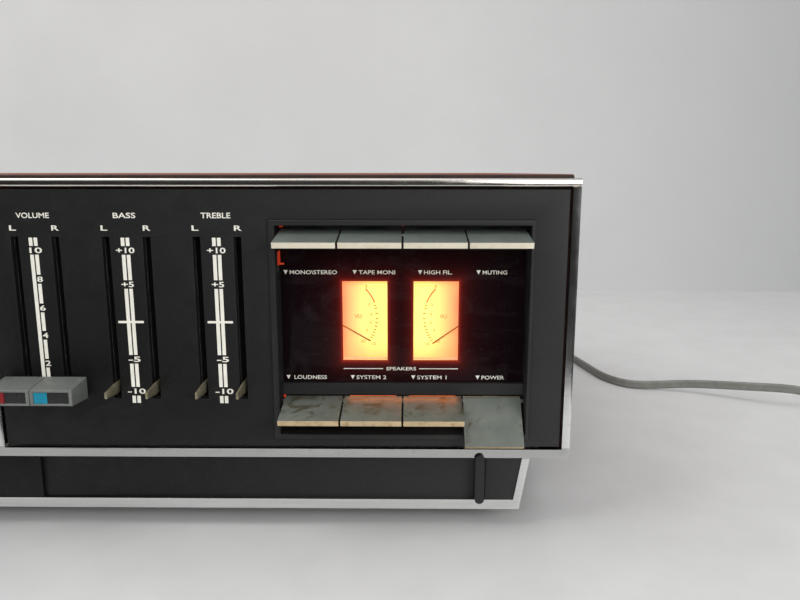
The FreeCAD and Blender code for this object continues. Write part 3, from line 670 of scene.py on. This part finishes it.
def slide_scales():
    """Titles, letters, numbers and the double line between the slots of each pair."""
    marks = Printing(PANEL_FACE)
    widths = {"volume": 12.8, "bass": 8.7, "treble": 11.4}
    line_shift = {"volume": -0.65, "bass": -0.35, "treble": -0.15}
    title_z, letter_z = 119.8, 115.0
    inner, outer = 0.26, 1.66  # edges of the two lines, from the middle of the pair
    line_low, line_top = 44.9, 104.7
    heavy = 0.02  # extra weight of the letters and numbers
    for group, (left, right) in SLIDES.items():
        middle = (left + right) / 2
        marks.middle_words(group.upper(), middle, title_z, widths[group], 2.1)
        marks.middle_words("L", left - 0.2, letter_z, 2.6, 2.0, heavy)
        marks.middle_words("R", right + 0.4, letter_z, 2.9, 2.0, heavy)
        middle += line_shift[group]
        for x0, x1 in ((-outer, -inner), (inner, outer)):
            marks.bar(middle + x0, middle + x1, 108.1, 111.3)
        if group == "volume":
            broken_line(marks, middle - outer, middle - inner, [(line_low, line_top)])
            levels = {"10": 106.4, "8": 95.1, "6": 83.7, "4": 72.7, "2": 61.3}
            breaks = [line_top, 96.9, 93.3, 85.5, 81.9, 74.5, 70.9, 63.1, 59.5, line_low]
            right_stretches = [(low, top) for top, low in zip(breaks[::2], breaks[1::2])]
            broken_line(marks, middle + inner, middle + outer, right_stretches)
            for number, z in levels.items():
                wide = 4.9 if number == "10" else 2.2
                x = middle + 0.7 if number == "10" else middle + 1.25
                marks.middle_words(number, x, z, wide, 2.2, heavy)
            continue
        zero_low, zero_top = 77.7, 78.6
        stretches = [
            (94.8, line_top), (zero_top, 91.4), (64.8, zero_low), (51.6, 61.2), (line_low, 47.9),
        ]
        for x0, x1 in ((-outer, -inner), (inner, outer)):
            broken_line(marks, middle + x0, middle + x1, stretches)
        marks.bar(middle - 5.0, middle + 5.0, zero_low, zero_top)
        for number, z in (("+10", 106.4), ("+5", 93.1), ("-5", 63.0), ("-10", 49.8)):
            shift = 0.3 if number.startswith("-") else -0.2
            marks.middle_words(number, middle + shift, z, 2.4 * len(number), 2.2, heavy)
    marks.piece("slide_scales", BASE, "panel_black", "print")


def module_labels():
    """Key names on the black glass, with an arrow in front of each."""
    marks = Printing(edges_of("module_glass")[2])
    top, low = 96.6, 52.9
    upper = (
        ("MONO\\STEREO", 117.3, 136.3), ("TAPE MONI", 145.0, 159.6),
        ("HIGH FIL.", 171.2, 182.5), ("MUTING", 194.6, 204.4),
    )
    lower = (
        ("LOUDNESS", 118.0, 131.4), ("SYSTEM 2", 143.7, 155.9),
        ("SYSTEM 1", 168.6, 180.7), ("POWER", 195.1, 204.4),
    )
    weight = 0.008
    for row, z in ((upper, top), (lower, low)):
        for words, x0, x1 in row:
            marks.words(words, x0, x1, z - 0.8, z + 0.8, weight)
            gap = 2.4 if words == "LOUDNESS" else 1.6
            marks.arrow(x0 - gap, z, 0.85)
    line = 56.6
    for x0, x1 in ((138.4, 154.6), (169.4, 185.4)):
        marks.bar(x0, x1, line - 0.16, line + 0.16)
    marks.words("SPEAKERS", 155.9, 168.2, line - 0.7, line + 0.7, weight)
    marks.piece("module_labels", BASE, "smoked_glass", "print")


def meter_scales():
    """Ticks, numbers and an upper arc on the two lit dials, mirrored about the middle."""
    z = 76.6
    for name, x, way in (("left", 134.8, 1), ("right", 188.7, -1)):
        marks = Printing(DIAL_FACE)
        faint = Printing(DIAL_FACE)

        def turned(angle):
            return angle if way > 0 else 180 - angle

        faint.arc(x, z, 17.3, turned(21), turned(44), 0.75)
        for angle in (-35, -30.5, -26.5, -22, -18, -13, -8, -1.5, 5.5, 13, 17):
            marks.tick(x, z, 16.5, 17.7, turned(angle), 0.42)
        for words, angle, radius in (
            ("20", -42, 15.3), ("10", -35.5, 19.4), ("7", -24, 14.2), ("5", -9, 14.6),
            ("3", 5, 14.6), ("0", 21, 15.0), ("3", 46, 18.2),
        ):
            turn = math.radians(turned(angle))
            place = (x + radius * math.cos(turn), z + radius * math.sin(turn))
            marks.middle_words(words, *place, 0.8 * len(words) + 0.3, 1.2, 0.0)
        faint.middle_words("VU", x + way * 9.2, z + 0.4, 3.0, 1.7, 0.02)
        marks.piece(f"{name}_meter_scale", BASE, "dial_glow", "dial_ink_and_glow")
        faint.piece(f"{name}_meter_red", BASE, "dial_glow", "dial_red")
    # Ledges under the windows, glowing with painted lamp light.
    ledge = Solid()
    for x in METER_X:
        ledge.box(x - DIAL_HALF, x + DIAL_HALF, 13.6, 14.4, METER_LOW - 0.1, METER_LOW + 0.4)
    ledge.piece("window_ledges", BASE, "dial_glow", "window_ledge")


def tuner_scale():
    """Frequency numbers and ticks on the tuner's scale plate."""
    x0, x1, y0, _, z0, z1 = edges_of("dial_plate")
    marks = Printing(y0)
    left, right = x0 + 14, x1 - 14
    rows = (
        (z1 - 13, ("88", "92", "96", "100", "104", "108"), "FM"),
        (z1 - 29, ("54", "60", "70", "90", "120", "160"), "AM"),
    )
    for z, numbers, band in rows:
        marks.bar(left, right, z - 0.15, z + 0.15)
        step = (right - left) / (len(numbers) - 1)
        for i, number in enumerate(numbers):
            x = left + i * step
            marks.bar(x - 0.2, x + 0.2, z, z + 2.2)
            marks.middle_words(number, x, z + 4.6, 1.8 * len(number), 2.4)
            for k in range(1, 5):
                if i < len(numbers) - 1:
                    minor = x + step * k / 5
                    marks.bar(minor - 0.1, minor + 0.1, z, z + 1.3)
        marks.middle_words(band, left - 8, z + 1.2, 5.0, 2.4)
    z = z0 + 8
    marks.bar(left, right, z - 0.15, z + 0.15)
    for i in range(11):
        x = left + i * (right - left) / 10
        marks.bar(x - 0.15, x + 0.15, z, z + (2.0 if i % 5 == 0 else 1.2))
        if i % 5 == 0:
            marks.middle_words(str(i * 10), x, z + 4.2, 1.7 * len(str(i * 10)), 2.2)
    marks.piece("tuner_scale", BASE, "dial_plate", "print")


def knob_names():
    """Names over the two knobs and round the selector."""
    names = Printing(PANEL_FACE)
    names.middle_words("TUNING", KNOB_X, 120.0, 13.0, 2.1)
    names.middle_words("SELECTOR", KNOB_X, 62.0, 15.0, 1.9)
    for i, word in enumerate(("AM", "FM", "PHONO", "TAPE", "AUX")):
        turn = math.radians(150 - 30 * i)
        x = KNOB_X + 17.5 * math.cos(turn) * 1.05
        z = SELECTOR_Z + 15.0 * math.sin(turn)
        names.middle_words(word, x, z - 1.2, 1.35 * len(word), 1.4)
    names.piece("tuner_names", BASE, "panel_black", "print")


def make_front():
    softened("front_frame", 0.25)
    for node in ("right_panel", "left_panel"):
        softened(node, 0.25)
    softened("fixed_strip", 0.12)
    softened("strip_end", 0.12)
    softened("sliding_cover", 0.12)
    softened("cover_pull", 0.4, None, 3)
    softened("front_plate", 0.1)
    slide_scales()


# Slide controls

def make_slides():
    for group in SLIDES:
        for side in ("left", "right"):
            softened(f"{group}_{side}_lever", 0.22)
    softened("slide_controls", 0.3)
    for side, inlay in (("left", "red"), ("right", "cyan")):
        node = f"volume_{side}_cap"
        softened(node, 0.3, None, 3)
        x0, x1, y0, _, _, _ = edges_of(node)
        field = Solid()
        field.box(x0 + 1.31, x1 - 1.31, y0 + 0.33, y0 + 0.6, 49.41, 53.89)
        field.piece(f"{node}_field", BODY_OF[node], "cap_grey", "window")
        square = Solid()
        square.box(x0 + 1.5, x0 + 6.6, y0 + 0.1, y0 + 0.5, 49.5, 53.8)
        piece = square.piece(f"{node}_inlay", BODY_OF[node], "cap_grey", inlay)
        round_edges(piece, 0.08, 2)


# Key and meter module

UPPER_KEYS = ("key_stereo", "key_tape", "key_filter", "key_muting")
LOWER_KEYS = ("key_loudness", "key_speakers_b", "key_speakers_a", "key_power")
REST_ANGLE = 9.5
PRESSED_ANGLE = 49.5


def make_key(node, top, cream):
    """Cream moulding with a grey top: each flat face is painted by the way it points.
    The dark grey on the sides is painted shade from the gaps between the keys.
    """
    slope = math.radians(PRESSED_ANGLE if node == "key_power" else REST_ANGLE)
    up = Vector((0, -math.sin(slope), math.cos(slope)))
    mesh = clean_copy(node)
    piece = shown(f"{node}_shell", mesh, BODY_OF[node], SLOT_OF[node], cream, top, "key_side_shade")
    for face in mesh.polygons:
        face.material_index = 1 if face.normal.dot(up) > 0.75 else 0
        # Painted shade: the sides get a dark grey.
        if abs(face.normal.x) > 0.9:
            face.material_index = 2
    round_edges(piece, 0.35, 3, 40)
    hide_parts(node)


def light_leaks():
    """Lamp light that shows through the arm slots and past the ends of the key rows."""
    glow_strip = Solid()
    for x, half in ((150.6, 9.5), (174.8, 9.5)):
        glow_strip.box(x - half, x + half, 8.25, 8.45, 45.6, 45.75)
    glow_strip.piece("lower_light_leak", BASE, "dial_glow", "warm_leak")
    ends = Solid()
    ends.box(113.58, 113.72, 5.2, 10.4, 99.9, 105.4)
    ends.box(113.6, 115.2, 10.2, 10.45, 99.7, 100.4)
    ends.box(113.7, 114.9, 10.6, 11.8, 114.6, 115.9)
    ends.box(162.3, 163.0, 11.3, 11.8, 114.9, 115.8)
    ends.piece("upper_light_leak", BASE, "dial_glow", "leak")
    spot = Solid()
    spot.box(113.6, 114.6, 8.8, 9.8, 44.6, 46.2)
    round_edges(spot.piece("left_light_leak", BASE, "dial_glow", "leak"), 0.3, 2)


def make_module():
    softened("module_bezel", 0.3)
    softened("module_face", 0.1)
    glass = softened("module_glass", 0.12, "meter_glass")
    glass.visible_shadow = False
    for node in UPPER_KEYS:
        make_key(node, "key_grey", "cream")
    for node in LOWER_KEYS:
        make_key(node, "key_worn", "cream_worn")
    softened("switch_bodies", 0.4)
    softened("meter_cases", 0.3)
    mesh = clean_copy("meter_dials")
    dials = shown("meter_dials_lit", mesh, BASE, "dial_glow", "left_dial", "right_dial")
    for face in dials.data.polygons:
        face.material_index = 0 if face.center.x < METER_MIDDLE * MM else 1
    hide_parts("meter_dials")
    module_labels()
    meter_scales()
    light_leaks()


# Tuner half

def make_knob(node, radius, rib_count):
    """Ribbed dark skirt, bright ring and a dished turned face with an index line."""
    x0, x1, tip, _, z0, z1 = edges_of(node)
    x, z = (x0 + x1) / 2, (z0 + z1) / 2
    profile = [
        (0, -0.3), (radius - 0.5, -0.3), (radius - 0.2, -0.7), (radius - 0.3, -2.2),
        (radius - 1.1, -2.6), (radius - 1.3, tip + 2.0), (radius - 1.5, tip + 1.2),
        (radius - 1.9, tip + 0.5), (radius - 2.6, tip + 0.15), (radius - 3.2, tip + 0.3),
        (radius - 3.6, tip + 0.9), (radius * 0.4, tip + 1.2), (0, tip + 1.3),
    ]
    paints = [1] * 6 + [0] * 6  # dark skirt, bright face
    body = Solid()
    body.lathe(profile, x, z, 240, paints, ({4, 5}, rib_count, 0.22))
    body.box(x - 0.35, x + 0.35, tip + 0.55, tip + 1.6, z + radius * 0.45, z + radius - 3.8, 1)
    finishes = ("knob_metal", "socket_plastic")
    piece = body.piece(f"{node}_turned", BODY_OF[node], SLOT_OF[node], *finishes, smooth=True)
    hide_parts(node)


def make_tuner():
    softened("dial_bezel", 0.4)
    softened("dial_glass", 0.15).visible_shadow = False
    softened("dial_plate", 0.1)
    softened("dial_pointer", 0.12)
    softened("tuning_shaft", 0.3)
    softened("shaft_bushes", 0.2)
    make_knob("tuning_knob", 21.0, 60)
    make_knob("selector_knob", 11.0, 36)
    tuner_scale()
    knob_names()


# Cabinet, back and inside

SIGNAL_X = (-196, -170, -144, -118, -92)
SPEAKER_X = (84, 104, 124, 144)
SOCKET_DEPTH = 9.0
SOCKET_RIM = 1.5  # how far the sockets stand out of the rear panel


def rear_details():
    """Contacts in the round sockets and plain marks on the rear panel."""
    _, _, _, face, _, _ = edges_of("rear_panel")
    _, _, _, _, z_low, z_high = edges_of("rear_sockets")
    z = (z_low + z_high) / 2
    floor = face + SOCKET_RIM - SOCKET_DEPTH
    insert = [(0, floor), (6.5, floor), (6.5, floor + 3.6), (6.1, floor + 4.0), (0, floor + 4.0)]
    contact = [(0, floor + 3.9), (0.85, floor + 3.9), (0.85, floor + 4.15), (0, floor + 4.15)]
    inserts = Solid()
    contacts = Solid()
    for x in SIGNAL_X:
        inserts.lathe(insert, x, z, 40)
        for i in range(5):
            turn = math.radians(180 + 45 * i)
            contacts.lathe(contact, x + 3.7 * math.cos(turn), z + 3.7 * math.sin(turn), 16)
    inserts.piece("socket_inserts", BASE, "socket_plastic", "socket_plastic")
    contacts.piece("socket_contacts", BASE, "plated_steel", "pin_metal")
    marks = Solid()
    near, far = face + 0.01, face + PRINT_THICK
    for i, x in enumerate(SIGNAL_X):
        for k in range(i + 1):
            middle = x - i * 0.9 + k * 1.8
            marks.box(middle - 0.5, middle + 0.5, near, far, z + 12.5, z + 13.5)
    for x in SPEAKER_X:
        marks.box(x - 3, x + 3, near, far, z + 12.6, z + 13.2)
    for x0, x1 in ((SPEAKER_X[0] - 8, SPEAKER_X[-1] + 8), (SIGNAL_X[0] - 8, SIGNAL_X[-1] + 8)):
        marks.box(x0, x1, near, far, z + 16, z + 16.4)
    marks.piece("rear_marks", BASE, "rear_steel", "print")


def screw_slots():
    """A dark strip across each screw head on the rear panel, painted shade standing in for the slot."""
    slot_shades = Solid()
    _, _, _, y1, _, _ = edges_of("screws")
    for z in (29.5, 119.5):
        for x in (-208.0, 0.0, 208.0):
            # Painted shade: a thin dark box on the head where the slot would be recessed.
            slot_shades.box(x - 2.1, x + 2.1, y1 - 0.02, y1 + 0.03, z - 0.35, z + 0.35)
    slot_shades.piece("screw_slots", BASE, "plated_steel", "socket_plastic")


def make_cabinet():
    wood = softened("wood_cabinet", 0.8, None, 3)
    # Painted shade: faces that point to the front get a darker copy of the wood.
    wood.data.materials.append(FINISHES["wood_front_shade"])
    for face in wood.data.polygons:
        if face.normal.y < -0.9:
            face.material_index = 1
    for node, width in (
        ("plinth", 0.5), ("feet", 0.6), ("rear_panel", 0.15), ("chassis", 0.15), ("socket_tray", 0.3),
        ("headphone_sockets", 0.4), ("rear_sockets", 0.3), ("heat_sink", 0.25), ("screws", 0.4),
        ("transformer", 0.8), ("amplifier_board", 0.2), ("meter_lamps", 0.3),
    ):
        softened(node, width)
    rear_details()
    screw_slots()


# Mains lead

CORD_WIDTH = 5.5
CORD_HEIGHT = 2.8
LIE = FLOOR + CORD_WIDTH / 2 + 0.1
COIL_X = 468.0
COIL_Y = 102.0
COIL_OUTER = 37.5
COIL_INNER = 21.5
EXIT_X = 185
EXIT_Z = 34
CORD_ROUTE = [
    (EXIT_X, 281, EXIT_Z),
    (187, 299, 30.5),
    (193, 317, 20),
    (206, 332, 7.5),
    (226, 338, -2),
    (248, 331, LIE),
    (266, 313, LIE),
    (280, 288, LIE),
    (291, 258, LIE),
    (297, 228, LIE),
    (302, 201, LIE),
    (314, 184, LIE),
    (332, 182, -4.6),
    (350, 178, -2.4),
    (366, 167.5, 0.2),
    (384, 156, 2.6),
    (403, 148, 4),
    (421, 142, 1.5),
    (437, 139, -4),
    (453, 138.4, LIE),
]


def coil_turns():
    """Flex standing on its edge: turns inwards on the table, then outwards on top, clockwise."""
    points = []
    steps = 16  # points in a turn
    start = math.radians(100)

    def add(share, turns, first, last, z):
        turn = start - share * turns * 2 * math.pi
        radius = first + (last - first) * share
        points.append((COIL_X + radius * math.cos(turn), COIL_Y + radius * math.sin(turn), z))

    lower_turns, upper_turns = 4, 3 + 100 / 360
    for i in range(lower_turns * steps):
        add(i / (lower_turns * steps), lower_turns, COIL_OUTER, COIL_INNER, LIE)
    count = round(upper_turns * steps)
    for i in range(count + 1):
        share = i / count
        climb = LIE + (CORD_WIDTH + 0.1) * min(1.0, share * 5)
        add(share, upper_turns, COIL_INNER, COIL_OUTER, climb)
    return points


def smooth_line(points):
    """Points along the smooth curve that the route's points control."""
    curve = bpy.data.curves.new("route", "CURVE")
    curve.dimensions = "3D"
    curve.resolution_u = 10
    spline = curve.splines.new("NURBS")
    spline.points.add(len(points) - 1)
    for point, place in zip(spline.points, points):
        point.co = (*at(*place), 1)
    spline.order_u = 3
    spline.use_endpoint_u = True
    holder = bpy.data.objects.new("route", curve)
    mesh = bpy.data.meshes.new_from_object(holder)
    line = [v.co.copy() for v in mesh.vertices]
    bpy.data.objects.remove(holder)
    bpy.data.meshes.remove(mesh)
    bpy.data.curves.remove(curve)
    return line


def flex_section():
    """Outline of two round cores, one above the other, with a groove between them."""
    core = CORD_HEIGHT / 2 * MM
    apart = (CORD_WIDTH / 2) * MM - core
    points = []
    for side in (1, -1):
        for i in range(9):
            turn = math.radians(-120 + 30 * i) if side > 0 else math.radians(60 + 30 * i)
            points.append((-core * math.sin(turn), side * apart + core * math.cos(turn)))
    return points


def swept(line, section):
    """The section carried along a line, kept level, with closed ends."""
    work = bmesh.new()
    rings = []
    up = Vector((0, 0, 1))
    for i, here in enumerate(line):
        ahead = line[min(i + 1, len(line) - 1)] - line[max(i - 1, 0)]
        ahead.normalize()
        side = ahead.cross(up).normalized()
        top = side.cross(ahead)
        rings.append([work.verts.new(here + side * a + top * b) for a, b in section])
    count = len(section)
    for a, b in zip(rings, rings[1:]):
        for i in range(count):
            j = (i + 1) % count
            work.faces.new([a[i], a[j], b[j], b[i]])
    work.faces.new(rings[0][::-1])
    work.faces.new(rings[-1])
    bmesh.ops.recalc_face_normals(work, faces=work.faces)
    mesh = bpy.data.meshes.new("flex")
    work.to_mesh(mesh)
    work.free()
    for face in mesh.polygons:
        face.use_smooth = True
    return mesh


def ribbed_sleeve(name, x, z, wide_y, thin_y, wide, thin):
    """Tapered strain relief with grooves moulded round it."""
    body = Solid()
    rings = 7
    profile = [(0, wide_y), (wide, wide_y)]
    for i in range(rings):
        share = (i + 0.5) / rings
        radius = wide + (thin - wide) * share
        y = wide_y + (thin_y - wide_y) * share
        step = (thin_y - wide_y) / rings * 0.25
        groove = radius - 0.7
        profile += [
            (radius, y - step), (groove, y - step * 0.4), (groove, y + step * 0.4), (radius, y + step),
        ]
    profile += [(thin, thin_y), (0, thin_y)]
    body.lathe(profile, x, z, 40)
    return body.piece(name, BASE, "cord_grey", "cord_grey", smooth=True)


def make_mains_lead():
    """Strain relief with its collar, the flex in one length with its coil, and the plug."""
    _, _, _, sleeve_end, _, _ = edges_of("strain_relief")
    _, _, _, rear_face, _, _ = edges_of("rear_panel")
    flange = rear_face + 2.0
    relief = ribbed_sleeve("cable_relief", EXIT_X, EXIT_Z, flange, sleeve_end, 6.0, 3.8)
    collar = Solid()
    ring = [(0, rear_face), (7.4, rear_face), (7.4, rear_face + 1.5), (6.6, flange), (0, flange)]
    collar.lathe(ring, EXIT_X, EXIT_Z, 48)
    collar_piece = collar.piece("relief_collar", BASE, "cord_grey", "cord_grey")
    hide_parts("strain_relief")

    x0, x1, _, _, z0, z1 = edges_of("mains_plug")
    plug_x, plug_z = (x0 + x1) / 2, (z0 + z1) / 2
    plug = softened("mains_plug", 0.6, None, 3)
    into_plug = [
        (plug_x, COIL_Y - 8, 7 + FLOOR), (plug_x, COIL_Y - 18, plug_z), (plug_x, COIL_Y - 26, plug_z),
    ]
    line = smooth_line(CORD_ROUTE + coil_turns() + into_plug)
    flex = shown("mains_flex", swept(line, flex_section()), BASE, "cord_grey", "cord_grey")
    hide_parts("mains_cord", "cord_coil")


# Stage

STAGE_HALF = 2500
TABLE_FRONT = -190
WALL_Y = 570
WALL_TOP = 2200


def stage_plane(name, corners, finish):
    mesh = bpy.data.meshes.new(name)
    mesh.from_pydata([tuple(at(*c)) for c in corners], [], [(0, 1, 2, 3)])
    mesh.materials.append(finish)
    plane = bpy.data.objects.new(name, mesh)
    bpy.context.scene.collection.objects.link(plane)


def area_light(name, place, target, size, power, color):
    """A soft light at a place in panel coordinates, turned to a target, its size in metres."""
    data = bpy.data.lights.new(name, "AREA")
    data.shape = "RECTANGLE"
    data.size, data.size_y = size
    data.energy = power
    data.color = color
    light = bpy.data.objects.new(name, data)
    bpy.context.scene.collection.objects.link(light)
    light.location = at(*place)
    aim = at(*target) - at(*place)
    light.rotation_euler = aim.to_track_quat("-Z", "Y").to_euler()
    return light


def make_room():
    """Surroundings: bright overhead, dim at the height of the set."""
    world = bpy.data.worlds.new("studio")
    bpy.context.scene.world = world
    world.use_nodes = True
    tree = world.node_tree
    background = tree.nodes["Background"]
    place = tree.nodes.new("ShaderNodeTexCoord")
    split = tree.nodes.new("ShaderNodeSeparateXYZ")
    tree.links.new(place.outputs["Generated"], split.inputs["Vector"])
    bands = tree.nodes.new("ShaderNodeValToRGB")
    stops = ((0.0, 0.03), (0.5, 0.05), (0.6, 0.09), (0.75, 0.5), (1.0, 0.75))
    ramp = bands.color_ramp.elements
    while len(ramp) < len(stops):
        ramp.new(0.5)
    for band, (where, value) in zip(ramp, stops):
        band.position = where
        band.color = (value, value, value, 1)
    height = tree.nodes.new("ShaderNodeMapRange")
    height.inputs["From Min"].default_value = -1.0
    tree.links.new(split.outputs["Z"], height.inputs["Value"])
    tree.links.new(height.outputs["Result"], bands.inputs["Fac"])
    tree.links.new(bands.outputs["Color"], background.inputs["Color"])
    background.inputs["Strength"].default_value = 0.55


def wall_shaded_right():
    """Pale wall, with painted shade making it a little darker to the right."""
    finish = Finish("wall_shaded_right")
    # Painted shade: the wall is mixed towards a darker grey to the right.
    side = finish.scaled(finish.axis("X"), 0, 1, 0.2, 0.7)
    drift = finish.ramp(finish.noise(8), (0.3, (0.64, 0.64, 0.64)), (0.7, (0.68, 0.68, 0.68)))
    finish.color(finish.mixed(side, drift, (0.47, 0.475, 0.48)))
    return finish.set(Roughness=0.85)


def make_stage():
    pale = ((0.55, 0.55, 0.55), (0.59, 0.59, 0.59))
    table = mottled("table_white", *pale, (0.5, 0.6), 30, 900, 0.00002)
    left, right = -STAGE_HALF, STAGE_HALF
    low = FLOOR - 0.02
    far_edge = [(right, WALL_Y, low), (left, WALL_Y, low)]
    stage_plane("table", [(left, TABLE_FRONT, low), (right, TABLE_FRONT, low)] + far_edge, table)
    foot, top = far_edge[::-1], [(right, WALL_Y, WALL_TOP), (left, WALL_Y, WALL_TOP)]
    stage_plane("wall", foot + top, wall_shaded_right())
    make_room()
    white = (1.0, 1.0, 1.0)
    area_light("key", (-650, 60, 1250), (-80, 420, 120), (1.3, 1.0), 14, (1.0, 0.995, 0.985))
    area_light("top", (350, 0, 1100), (250, 60, 0), (1.1, 0.8), 2.4, white)
    area_light("right_fill", (930, -700, 500), (170, 0, 70), (0.6, 0.6), 5, (1.0, 1.0, 0.99))
    front = area_light("front_fill", (100, -950, 420), (160, 0, 60), (0.6, 0.6), 6, white)
    front.visible_glossy = False
    orange = (1.0, 0.24, 0.03)  # lamp light on the lower keys
    spill = area_light("lamp_spill", (162.7, 7.6, 47.2), (162.7, -5, 42.5), (0.046, 0.001), 0.0013, orange)
    spill.visible_camera = False
    bpy.context.scene.view_settings.view_transform = "Standard"


make_camera()
FINISHES = make_finishes()
make_mains_lead()
make_front()
make_slides()
make_module()
make_tuner()
make_cabinet()
# Nodes shown as they came get their finish
for name, node in NODES.items():
    if not node.hide_render:
        node.data.materials.clear()
        node.data.materials.append(FINISHES[SLOT_OF[name]])
make_stage()
